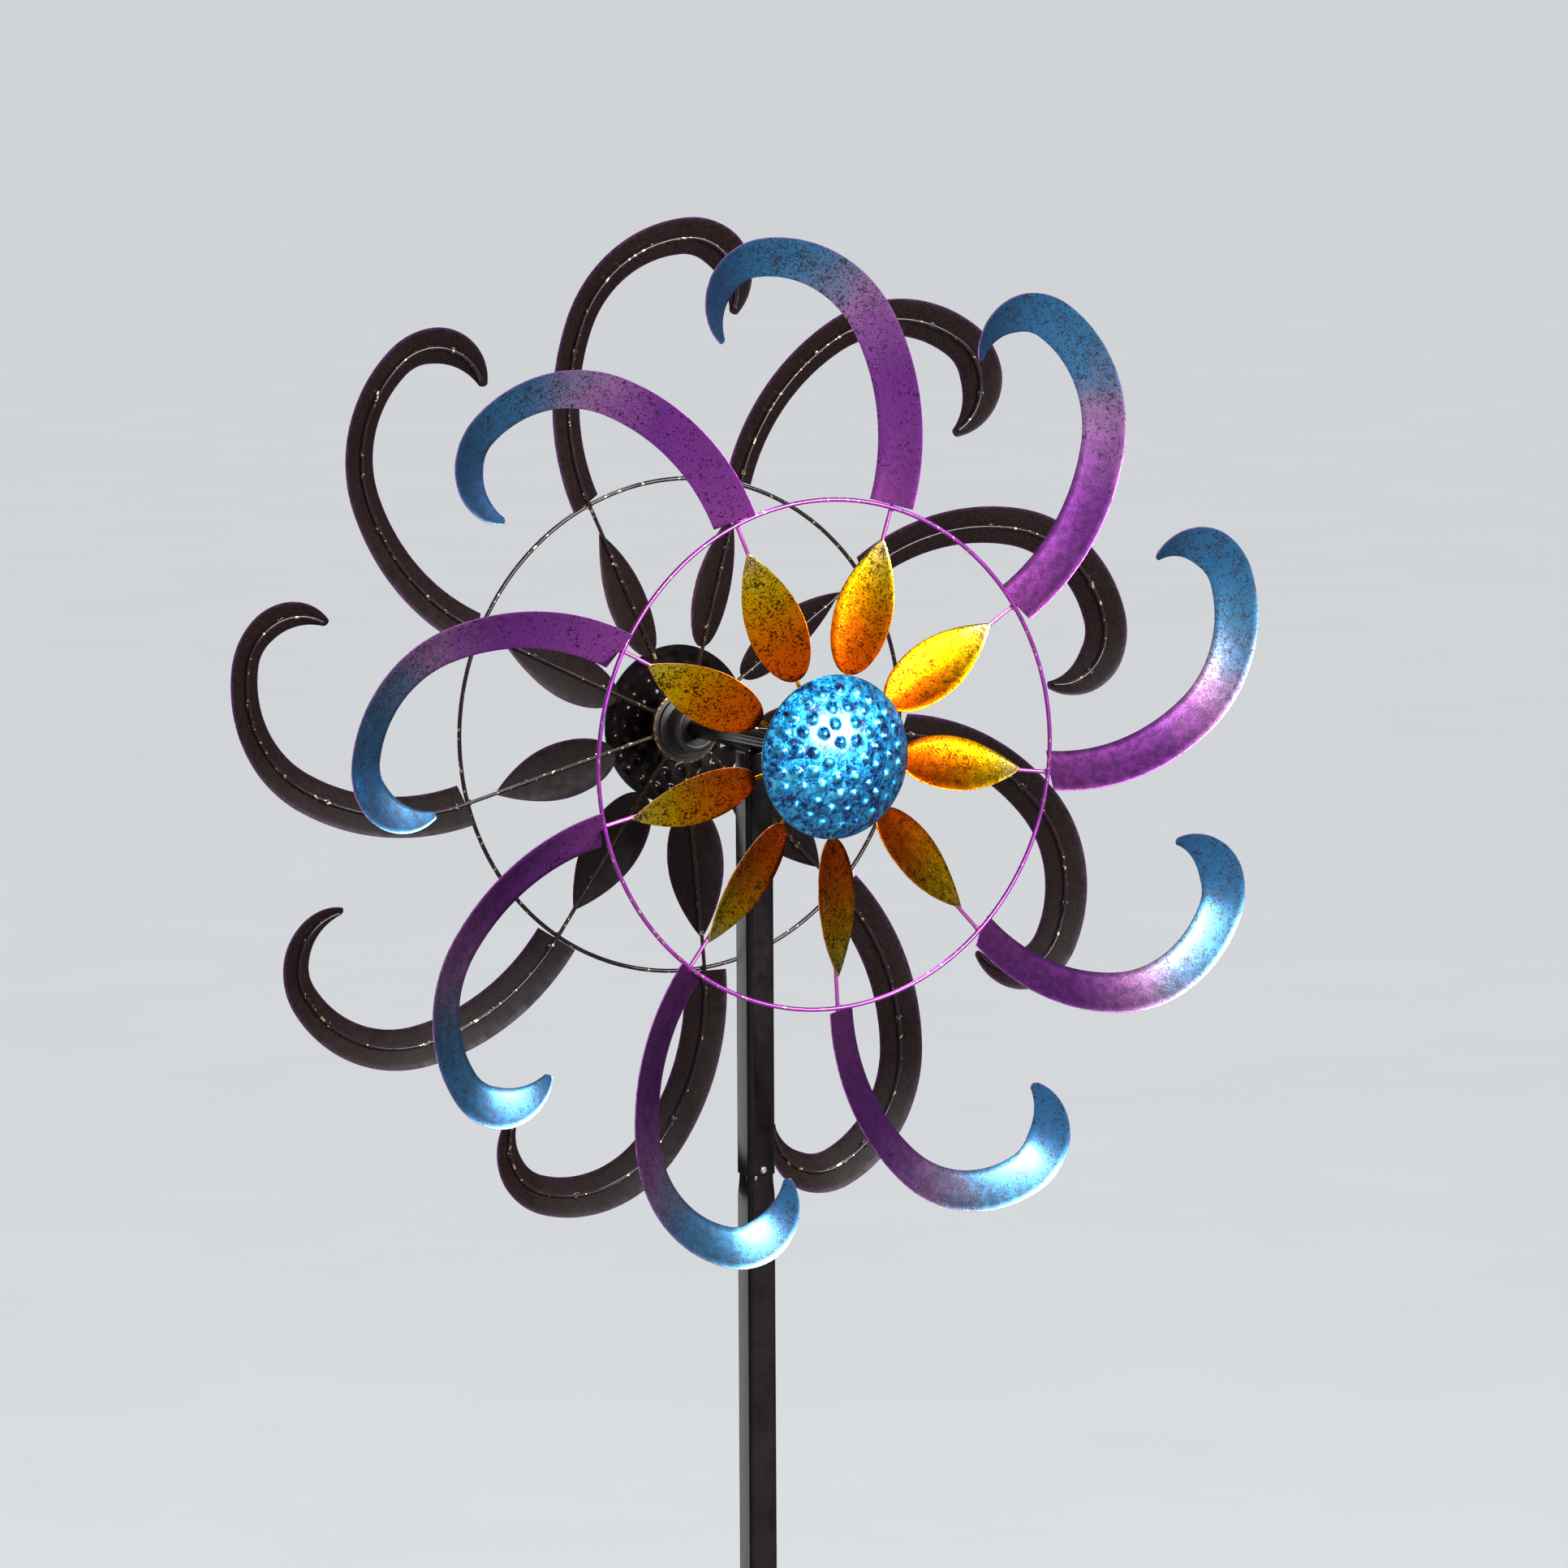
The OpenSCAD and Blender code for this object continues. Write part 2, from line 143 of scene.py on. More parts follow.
class Shape:
    """Points, faces, a material number for each face and a texture point for each point."""

    def __init__(self):
        self.points, self.faces, self.kinds, self.uvs = [], [], [], []

    def add(self, points, faces, kinds=0, uvs=None, matrix=None):
        points = np.asarray(points, float)
        if matrix is not None:
            matrix = np.array(matrix)
            points = points @ matrix[:3, :3].T + matrix[:3, 3]
        first = sum(len(p) for p in self.points)
        self.points.append(points)
        self.faces += [[first + i for i in face] for face in faces]
        self.kinds += [kinds] * len(faces) if isinstance(kinds, int) else list(kinds)
        self.uvs.append(np.zeros((len(points), 2)) if uvs is None else np.asarray(uvs, float))

    def merge(self, other, matrix=None):
        self.add(np.concatenate(other.points), other.faces, other.kinds, np.concatenate(other.uvs), matrix)


def add_piece(name, body, shape, matrix, materials, replaces=()):
    """Makes a shape one object that rides on a body and takes the place of CAD nodes."""
    matrix = np.array(matrix)
    points = np.concatenate(shape.points) @ matrix[:3, :3].T + matrix[:3, 3]
    mesh = bpy.data.meshes.new(name)
    mesh.from_pydata(points.tolist(), [], shape.faces)
    mesh.polygons.foreach_set("material_index", shape.kinds)
    corners = np.empty(len(mesh.loops), int)
    mesh.loops.foreach_get("vertex_index", corners)
    layer = mesh.uv_layers.new(name="Place")
    layer.data.foreach_set("uv", np.concatenate(shape.uvs)[corners].ravel())
    bm = bmesh.new()
    bm.from_mesh(mesh)
    bmesh.ops.recalc_face_normals(bm, faces=bm.faces)
    bm.to_mesh(mesh)
    bm.free()
    mesh.shade_smooth()
    mesh.set_sharp_from_angle(angle=SHARP_ANGLE)
    for material in materials:
        mesh.materials.append(material)
    piece = bpy.data.objects.new(name, mesh)
    bpy.context.scene.collection.objects.link(piece)
    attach(piece, body)
    if replaces:
        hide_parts(*replaces)


# ---- shapes ----------------------------------------------------------------

def sweep(rings, kinds=0, uvs=None):
    """A closed solid through rings that all have the same number of points."""
    rings = np.asarray(rings, float)
    count, around = rings.shape[:2]
    faces = [
        (k * around + j, k * around + (j + 1) % around,
         (k + 1) * around + (j + 1) % around, (k + 1) * around + j)
        for k in range(count - 1) for j in range(around)
    ]
    side_kinds = [kinds] * len(faces) if isinstance(kinds, int) else list(kinds) * (count - 1)
    caps = [tuple(range(around)), tuple(range((count - 1) * around, count * around))]
    cap_kind = side_kinds[0] if isinstance(kinds, int) else EDGE
    shape = Shape()
    shape.add(rings.reshape(-1, 3), faces + caps, side_kinds + [cap_kind] * 2,
              None if uvs is None else np.asarray(uvs).reshape(-1, 2))
    return shape


def lathe(profile, segments=96):
    """Turns a closed outline of (radius, height) about the axis."""
    angles = np.linspace(0, 2 * math.pi, segments, endpoint=False)
    points = np.array([[r * math.cos(a), r * math.sin(a), z] for a in angles for r, z in profile])
    around = len(profile)
    faces = [
        (s * around + j, s * around + (j + 1) % around,
         (s + 1) % segments * around + (j + 1) % around, (s + 1) % segments * around + j)
        for s in range(segments) for j in range(around)
    ]
    shape = Shape()
    shape.add(points, faces)
    return shape


def soften(profile, radius):
    """Rounds every corner of a closed outline."""
    result = []
    for k, corner in enumerate(profile):
        corner = Vector(corner)
        before = Vector(profile[k - 1]) - corner
        after = Vector(profile[(k + 1) % len(profile)]) - corner
        reach = min(radius, before.length * 0.4, after.length * 0.4)
        start, end = corner + before.normalized() * reach, corner + after.normalized() * reach
        for t in (0, 0.33, 0.67, 1):
            result.append((start * (1 - t) ** 2 + corner * 2 * t * (1 - t) + end * t * t)[:])
    return result


def blob(place, radii):
    """A slightly uneven round lump, such as a weld spot."""
    rows, columns, lumps = 7, 12, 0.12
    points = [(0, 0, -1)]
    for row in range(1, rows):
        tilt = math.pi * row / rows - math.pi / 2
        for column in range(columns):
            turn = 2 * math.pi * column / columns
            uneven = 1 + lumps * math.sin(3 * turn + 5 * tilt + place[0])
            points.append((math.cos(tilt) * math.cos(turn) * uneven,
                           math.cos(tilt) * math.sin(turn) * uneven, math.sin(tilt)))
    points.append((0, 0, 1))
    last = len(points) - 1
    faces = [(0, 1 + (c + 1) % columns, 1 + c) for c in range(columns)]
    for row in range(rows - 2):
        first = 1 + row * columns
        faces += [(first + c, first + (c + 1) % columns,
                   first + columns + (c + 1) % columns, first + columns + c) for c in range(columns)]
    top = last - columns
    faces += [(top + c, top + (c + 1) % columns, last) for c in range(columns)]
    shape = Shape()
    shape.add(np.array(points) * np.array(radii) + np.array(place), faces)
    return shape


def tube(path, radius, sides=12, flat_up=(0, 0, 1)):
    """A round wire along a path, with rounded ends. radius is one number or one for each point."""
    path = np.asarray(path, float)
    radii = np.broadcast_to(np.asarray(radius, float), len(path))
    ahead = np.gradient(path, axis=0)
    ahead /= np.linalg.norm(ahead, axis=1)[:, None]
    first = path[0] - ahead[0] * radii[0] * 0.5
    last = path[-1] + ahead[-1] * radii[-1] * 0.5
    path = np.concatenate([[first], path, [last]])
    ahead = np.concatenate([ahead[:1], ahead, ahead[-1:]])
    radii = np.concatenate([[radii[0] * 0.5], radii, [radii[-1] * 0.5]])
    aside = np.cross(ahead, flat_up)
    aside /= np.linalg.norm(aside, axis=1)[:, None]
    up = np.cross(aside, ahead)
    angles = np.linspace(0, 2 * math.pi, sides, endpoint=False)
    rings = [
        [path[k] + radii[k] * (math.cos(a) * aside[k] + math.sin(a) * up[k]) for a in angles]
        for k in range(len(path))
    ]
    return sweep(rings)


# ---- blade and petal -------------------------------------------------------

FRONT, EDGE, BACK = 0, 1, 2
ACROSS = np.linspace(-1, 1, 9)


def sheet_section(half, cup):
    """Outline of a sheet's cross-section as (across, height), its kinds and its places across."""
    support = min(0.6, half * 0.3)
    across = np.concatenate([[-half], ACROSS * (half - support), [half]])
    rise = cup * (across / BLADE_HALF) ** 2
    round_off = np.where(np.abs(across) == half, 0.16, 0)
    front = np.stack([across, SHEET_T - round_off + rise], 1)
    back = np.stack([across, round_off + rise], 1)[::-1]
    bulge = 0.14
    right = [[half + bulge, SHEET_T / 2 + rise[-1]]]
    left = [[-half - bulge, SHEET_T / 2 + rise[0]]]
    outline = np.concatenate([front, right, back, left])
    spans = len(across) - 1
    kinds = [FRONT] * spans + [EDGE] * 2 + [BACK] * spans + [EDGE] * 2
    return outline, kinds, np.clip(outline[:, 0] / half, -1, 1) / 2 + 0.5


def arc_from(start, radius, first, last):
    return np.array(start) + radius * np.array(
        [math.sin(last) - math.sin(first), math.cos(first) - math.cos(last)])


BENDS = np.radians(np.cumsum((0,) + BEND_ANGLE))
BEND_LENGTHS = np.cumsum([0] + [r * math.radians(a) for r, a in zip(BEND_R, BEND_ANGLE)])
PATH_LENGTH = BEND_LENGTHS[-1]


def blade_path(length):
    """Point and heading at a length along the blade's three arcs. The last arc runs on past its end."""
    point, bend = np.zeros(2), 0
    while bend < 2 and length > BEND_LENGTHS[bend + 1]:
        point = arc_from(point, BEND_R[bend], BENDS[bend], BENDS[bend + 1])
        bend += 1
    heading = BENDS[bend] + (length - BEND_LENGTHS[bend]) / BEND_R[bend]
    return arc_from(point, BEND_R[bend], BENDS[bend], heading), heading


def lean_out(points):
    """From the blade path's own frame to its arm's frame."""
    c, s = math.cos(BLADE_LEAN), math.sin(BLADE_LEAN)
    x, y, z = np.asarray(points).T
    return np.stack([x + BLADE_ROOT_R, y * c + z * s, z * c - y * s], 1)


def blade_shape(rotor):
    pitch = BLADE_PITCH * PITCH_SIDE[rotor]
    stations = 112
    tip_round = np.radians([20, 40, 58, 74])
    lengths = list(np.linspace(0, PATH_LENGTH - 1, stations))
    halves = [blade_half(length / PATH_LENGTH) for length in lengths]
    lengths += [lengths[-1] + 1.9 * math.sin(t) for t in tip_round]
    halves += [halves[-1] * math.cos(t) for t in tip_round]
    rings, uvs = [], []
    for length, half in zip(lengths, halves):
        (x, y), heading = blade_path(length)
        inward = np.array([-math.sin(heading), math.cos(heading), 0])
        across = inward * math.cos(pitch) - np.array([0, 0, math.sin(pitch)])
        up = inward * math.sin(pitch) + np.array([0, 0, math.cos(pitch)])
        outline, kinds, places = sheet_section(half, cup=0.5)
        ring = [np.array([x, y, 0]) + up * (SHEET_Z + h) + across * a for a, h in outline]
        rings.append(lean_out(ring))
        uvs.append([[length / PATH_LENGTH, place] for place in places])
    return sweep(rings, kinds, uvs)


def blade_half(share):
    """Half width: full along most of the blade, then tapering to the tip."""
    taper = max(0, (share - BLADE_FULL_SHARE) / (1 - BLADE_FULL_SHARE))
    return BLADE_TIP_HALF + (BLADE_HALF - BLADE_TIP_HALF) * (1 - taper**1.6)


def petal_half(share):
    """Half width of the almond outline: round at the inner end and pointed at the outer end."""
    if share < PETAL_BELLY:
        return PETAL_HALF * math.sqrt(1 - (1 - share / PETAL_BELLY) ** 2)
    return PETAL_HALF * max(0, math.cos(math.pi / 2 * (share - PETAL_BELLY) / (1 - PETAL_BELLY))) ** 0.85


def petal_shape(rotor):
    shares = (1 - np.cos(np.linspace(0.035, 0.985, 64) * math.pi)) / 2
    rings, uvs = [], []
    for share in shares:
        outline, kinds, places = sheet_section(max(0.3, petal_half(share) - 0.14), cup=0.8)
        x = PETAL_START_R + share * (PETAL_END_R - PETAL_START_R)
        rings.append([[x, a, SHEET_Z + h] for a, h in outline])
        uvs.append([[share, place] for place in places])
    shape = Shape()
    shape.merge(sweep(rings, kinds, uvs), Matrix.Rotation(-PETAL_PITCH * PITCH_SIDE[rotor], 4, "X"))
    return shape


# ---- wires -----------------------------------------------------------------

def arm_wire_shape():
    """One arm: its wire from the hub to the blade's tip, and the weld spots along it."""
    straight = [[r, 0, 0] for r in np.linspace(ARM_START_R, BLADE_ROOT_R, 24)]
    bent = []
    for length in np.linspace(0, PATH_LENGTH - 3, 96)[1:]:
        (x, y), _ = blade_path(length)
        bent.append([x, y, 0])
    shape = Shape()
    shape.merge(tube(np.concatenate([straight, lean_out(bent)]), ARM_WIRE_R))
    for r in HUB_WELD_R:
        shape.merge(blob((r, 0, -0.4), (2.3, 2.0, 1.3)))
    for r in PETAL_WELD_R:
        for side in (-1, 1):
            shape.merge(blob((r, side * 1.1, 0.5), (1.9, 1.0, 0.9)))
    shape.merge(blob((RING_R, 0, 1.2), (2.2, 2.2, 1.3)))
    for length in BLADE_WELD_AT:
        (x, y), heading = blade_path(length)
        spot = Matrix.Translation((x + BLADE_ROOT_R, y, -y * math.sin(BLADE_LEAN)))
        spot = spot @ Matrix.Rotation(heading, 4, "Z")
        for side in (-1, 1):
            shape.merge(blob((0, side * 1.15, 0.4 + side * 0.5), (2.4, 1.0, 0.8)), spot)
    return shape


def ring_shape():
    turns = np.linspace(0, 2 * math.pi, 16, endpoint=False)
    profile = [(RING_R + RING_WIRE_R * math.cos(t), RING_Z + RING_WIRE_R * math.sin(t)) for t in turns]
    return lathe(profile, 288)


# ---- dome and hub ----------------------------------------------------------

def bump_places():
    """Centres of the dome's pressed bumps, set a little unevenly as by hand."""
    places = []
    for row, (radius, count) in enumerate(BUMP_RINGS):
        for k in range(count):
            turn = 2 * math.pi * (k + 0.5 * row + 0.1 * math.sin(2.4 * k + row)) / count
            r = radius + 0.5 * math.cos(1.7 * k + 2 * row)
            places.append((r * math.cos(turn), r * math.sin(turn)))
    return np.array(places)


def dome_shape():
    """Pressed shell with raised bumps and a rounded rim, and the welded stem behind it."""
    rows, segments = 64, 336
    radii = DOME_R * np.linspace(0, 1, rows + 1)[1:]
    turns = np.linspace(0, 2 * math.pi, segments, endpoint=False)
    r, turn = np.meshgrid(radii, turns, indexing="ij")
    x, y = r * np.cos(turn), r * np.sin(turn)
    bump_x, bump_y = bump_places().T
    near = np.min(np.hypot(x[..., None] - bump_x, y[..., None] - bump_y), axis=2)
    bump = BUMP_H * (1 - np.clip(near / BUMP_R, 0, 1) ** 2) ** 1.35

    def skin(sphere_r, rise):
        z = DOME_CENTRE_Z + np.sqrt(sphere_r**2 - r**2) + rise
        crown = [[0, 0, DOME_CENTRE_Z + sphere_r]]
        return np.concatenate([crown, np.stack([x, y, z], 2).reshape(-1, 3)])

    lift = bump - BUMP_H * 0.25 * np.clip(r / DOME_R, 0, 1)
    outer = skin(DOME_SPHERE_R, lift)
    inner = skin(DOME_SPHERE_R - DOME_T, lift)
    rim_at = 1 + (rows - 1) * segments
    rim = (outer[rim_at:] + inner[rim_at:]) / 2 * np.array([1.004, 1.004, 1])
    points = np.concatenate([outer, inner, rim])
    second, third = len(outer), 2 * len(outer)
    faces, kinds = [], []
    for s in range(segments):
        after = (s + 1) % segments
        faces += [(0, 1 + s, 1 + after), (second, second + 1 + after, second + 1 + s)]
        kinds += [FRONT, BACK]
        for row in range(rows - 1):
            a, b = 1 + row * segments + s, 1 + row * segments + after
            faces.append((a, a + segments, b + segments, b))
            faces.append((second + a, second + b, second + b + segments, second + a + segments))
            kinds += [FRONT, BACK]
        a, b = rim_at + s, rim_at + after
        faces += [(a, third + s, third + after, b), (second + a, second + b, third + after, third + s)]
        kinds += [EDGE, EDGE]
    shape = Shape()
    shape.add(points, faces, kinds)
    top = DOME_CENTRE_Z + math.sqrt((DOME_SPHERE_R - DOME_T) ** 2 - STEM_R**2) + 0.2
    outside = STEM_R + STEM_WALL
    outline = [(STEM_R, STEM_START_Z), (outside, STEM_START_Z), (outside, top), (STEM_R, top)]
    stem = lathe(soften(outline, 0.4))
    stem.kinds = [BACK] * len(stem.kinds)
    shape.merge(stem)
    return shape


def hub_shape():
    """Turned hub with softened corners, after the CAD outline."""
    flange_top = -ARM_WIRE_R - WELD_GAP
    flange_back = flange_top - FLANGE_T
    chamfer = 2
    outside = [
        (BOSS_R - chamfer, HUB_BACK_Z), (BOSS_R, HUB_BACK_Z + chamfer),
        (BOSS_R, STEP_BACK_Z), (STEP_R, STEP_BACK_Z),
        (STEP_R, flange_back), (FLANGE_R, flange_back),
        (FLANGE_R, flange_top), (SPIGOT_R, flange_top), (SPIGOT_R, SPIGOT_TOP_Z),
    ]
    bore = [
        (SEAT_R, SPIGOT_TOP_Z), (SEAT_R, SHOULDER_Z[1]), (SHOULDER_R, SHOULDER_Z[1]),
        (SHOULDER_R, SHOULDER_Z[0]), (SEAT_R, SHOULDER_Z[0]), (SEAT_R, HUB_BACK_Z),
    ]
    return lathe(soften(outside + bore, 0.5), 128)


# ---- post ------------------------------------------------------------------

def square_ring(z, half, corner):
    """Points around a square with round corners."""
    points = []
    for quarter in range(4):
        middle = math.radians(45 + 90 * quarter)
        cx = (half - corner) * math.copysign(1, math.cos(middle))
        cy = (half - corner) * math.copysign(1, math.sin(middle))
        for turn in np.linspace(-math.pi / 4, math.pi / 4, 9):
            points.append([cx + corner * math.cos(middle + turn), cy + corner * math.sin(middle + turn), z])
    return points


def post_levels(bottom, top):
    """A section from its open lower end up to top: inner wall, lower lip and outer wall."""
    inner = POST_HALF - POST_WALL
    inner_corner = POST_CORNER_R - POST_WALL
    return [
        (bottom + NECK_LENGTH + 6, inner, inner_corner), (bottom + 0.3, inner, inner_corner),
        (bottom, inner + 0.3, inner_corner + 0.3), (bottom, POST_HALF - 0.35, POST_CORNER_R - 0.35),
        (bottom + 0.35, POST_HALF, POST_CORNER_R), (top, POST_HALF, POST_CORNER_R),
    ]


def upper_post_shape():
    rounding = 3.0
    levels = post_levels(JOINT_HEIGHTS[0], POST_TOP_Z - rounding)
    for turn in np.radians([15, 30, 45, 60, 75, 90]):
        back = rounding * (1 - math.cos(turn))
        levels.append((POST_TOP_Z - rounding + rounding * math.sin(turn), POST_HALF - back,
                       max(0.6, POST_CORNER_R - back * 0.8)))
    return sweep([square_ring(*level) for level in levels])


def necked_post_shape(bottom, top):
    """A section whose upper end is swaged round and narrowed into the section above."""
    levels = post_levels(bottom, top - SWAGE_LENGTH)
    for share in (0.25, 0.5, 0.75, 1):
        ease = share * share * (3 - 2 * share)
        levels.append((top - SWAGE_LENGTH * (1 - share) - 0.35 * share,
                       POST_HALF - 0.35 * ease, POST_CORNER_R + 1.8 * ease))
    levels += [(top - 0.05, POST_HALF - 0.7, 4.4), (top, NECK_HALF, 3.0),
               (top + NECK_LENGTH - 2, NECK_HALF, 3.0), (top + NECK_LENGTH, NECK_HALF - 1, 2.5)]
    return sweep([square_ring(*level) for level in levels])


def screw_shape():
    """Pan-head screw with a cross recess, its axis along Z and its head's seat at zero."""
    head_r, head_h, shank_r, shank_length = 2.3, 1.4, 1.6, 6.0
    recess_r, recess_half, recess_deep = 1.5, 0.32, 0.7
    rows, segments = 20, 48
    points, faces = [[0, 0, head_h - recess_deep]], []
    for row in range(1, rows + 1):
        for s in range(segments):
            r, turn = head_r * row / rows, 2 * math.pi * s / segments
            arms = min(abs(r * math.sin(turn)), abs(r * math.cos(turn)))
            in_recess = arms < recess_half and r < recess_r
            deep = recess_deep * (1 - r / recess_r) ** 0.4 if in_recess else 0
            points.append([r * math.cos(turn), r * math.sin(turn),
                           head_h * math.sqrt(max(0, 1 - 0.8 * (r / head_r) ** 4)) - deep])
    for r, z in ((head_r, 0), (shank_r, 0), (shank_r, -shank_length)):
        points += [[r * math.cos(2 * math.pi * s / segments), r * math.sin(2 * math.pi * s / segments), z]
                   for s in range(segments)]
    for s in range(segments):
        after = (s + 1) % segments
        faces.append((0, 1 + s, 1 + after))
        for row in range(rows + 2):
            a, b = 1 + row * segments, 1 + (row + 1) * segments
            faces.append((a + s, b + s, b + after, a + after))
    faces.append(tuple(len(points) - segments + s for s in range(segments)))
    shape = Shape()
    shape.add(points, faces)
    return shape


def weld_bead(path, radius):
    """A bead along a path, with a ripple for each drop of the weld."""
    path = np.asarray(path, float)
    steps = np.concatenate([[0], np.cumsum(np.linalg.norm(np.diff(path, axis=0), axis=1))])
    fine = np.arange(0, steps[-1], 0.35)
    fine_path = np.stack([np.interp(fine, steps, path[:, axis]) for axis in range(3)], 1)
    return tube(fine_path, radius * (1 + 0.16 * np.abs(np.sin(fine * 1.9))), 10, (0.02, 0.03, 1))


def axle_weld_shape():
    """Weld along both sides of the axle tube, on the post's rounded top."""
    shape = Shape()
    aside, reach, flat_reach = 4.6, POST_HALF - 1.2, 5.5
    for side in (-1, 1):
        path = [[side * aside, y, POST_TOP_Z - 0.2 - 0.8 * max(0, abs(y) - flat_reach)]
                for y in np.linspace(-reach, reach, 24)]
        shape.merge(weld_bead(path, 0.9))
    return shape


def fork_weld_shape():
    """Welds around the prongs under the bars, and where the two bars cross."""
    circle = [[PRONG_WELD_R * math.cos(t), PRONG_WELD_R * math.sin(t), -0.1]
              for t in np.linspace(0, 2 * math.pi, 40)]
    seam = [[BAR_WELD_AT, y, JOINT_HEIGHTS[2] - 0.3]
            for y in np.linspace(-BAR_WELD_REACH, BAR_WELD_REACH, 24)]
    prong_weld, bar_weld = weld_bead(circle, 0.9), weld_bead(seam, 0.8)
    shape = Shape()
    for turn in np.arange(4) * math.pi / 2:
        shape.merge(prong_weld, Matrix.Translation((PRONG_AT * math.cos(turn), PRONG_AT * math.sin(turn), 0)))
    for turn in np.arange(4) * math.pi / 2:
        shape.merge(bar_weld, Matrix.Rotation(turn, 4, "Z"))
    return shape


# ---- materials -------------------------------------------------------------

def rgb(red, green, blue, gain=1.0):
    """A colour given in screen values from 0 to 255."""
    linear = [c / 255 / 12.92 if c < 10.3 else ((c / 255 + 0.055) / 1.055) ** 2.4 for c in (red, green, blue)]
    return tuple(min(1, c * gain) for c in linear) + (1,)


class Paint:
    """A node material. A setting that is another node's output is linked, and any other is a value."""

    def __init__(self, name, **settings):
        self.material = bpy.data.materials.new(name)
        self.material.use_nodes = True
        self.tree = self.material.node_tree
        self.shader = self.tree.nodes["Principled BSDF"]
        self.place = self.node("TexCoord")
        self.set(**settings)

    def put(self, node, socket, value):
        target = node.inputs[socket]
        if isinstance(value, bpy.types.NodeSocket):
            self.tree.links.new(value, target)
        else:
            target.default_value = value

    def set(self, **settings):
        for socket, value in settings.items():
            self.put(self.shader, socket.replace("_", " "), value)
        return self

    def node(self, kind, sockets=None, **settings):
        node = self.tree.nodes.new("ShaderNode" + kind)
        for name, value in settings.items():
            setattr(node, name, value)
        for socket, value in (sockets or {}).items():
            self.put(node, socket, value)
        return node

    def math(self, operation, a, b=0.0, c=0.0):
        return self.node("Math", {0: a, 1: b, 2: c}, operation=operation).outputs[0]

    def between(self, value, low, high, start=0.0, end=1.0):
        sockets = {"Value": value, "From Min": low, "From Max": high, "To Min": start, "To Max": end}
        return self.node("MapRange", sockets, interpolation_type="SMOOTHSTEP").outputs[0]

    def mix(self, factor, a, b):
        return self.node("Mix", {0: factor, 6: a, 7: b}, data_type="RGBA").outputs[2]

    def noise(self, size_mm, detail=2.0, rough=0.5, warp=0.0):
        """Noise in the piece's own place, with features of about size_mm, from 0 to 1."""
        sockets = {"Vector": self.place.outputs["Object"], "Scale": 1000 / size_mm, "Detail": detail,
                   "Roughness": rough, "Distortion": warp}
        return self.node("TexNoise", sockets).outputs[0]

    def ramp(self, value, stops):
        node = self.node("ValToRGB", {0: value})
        elements = node.color_ramp.elements
        for position, _ in stops[2:]:
            elements.new(position)
        for element, (position, _) in zip(elements, stops):
            element.position = position
        for element, (_, colour) in zip(elements, stops):
            element.color = colour
        return node.outputs[0]

    def along(self):
        """Share of the way along a sheet and across it, from the piece's texture points."""
        split = self.node("SeparateXYZ", {0: self.node("UVMap", uv_map="Place").outputs[0]})
        return split.outputs[0], split.outputs[1]

    def facing(self):
        """How far a surface faces the painted side of its own rotor, from -1 to 1."""
        normal = self.node("SeparateXYZ", {0: self.place.outputs["Normal"]}).outputs[1]
        side = self.math("SIGN", self.node("SeparateXYZ", {0: self.place.outputs["Object"]}).outputs[1])
        return self.math("MULTIPLY", normal, side)

    def axle_distance(self):
        """Distance from the axle in millimetres."""
        place = self.node("SeparateXYZ", {0: self.place.outputs["Object"]})
        rise = self.math("SUBTRACT", place.outputs[2], AXLE_HEIGHT * MM)
        square = self.math("ADD", self.math("POWER", place.outputs[0], 2), self.math("MULTIPLY", rise, rise))
        return self.math("MULTIPLY", self.math("SQRT", square), 1 / MM)

    def flecks(self, size_mm, amount):
        """Mask of short dark flecks; amount from 0 to 1 says how many."""
        cover = self.math("MULTIPLY_ADD", amount, -0.22, 0.72)
        spots = self.noise(size_mm, 1.5, 0.6, 1.8)
        return self.between(spots, cover, self.math("ADD", cover, 0.05))

    def bump(self, height, depth_mm, strength=1.0):
        sockets = {"Height": height, "Distance": depth_mm * MM, "Strength": strength}
        return self.node("Bump", sockets).outputs[0]


SOOT = rgb(26, 19, 21)


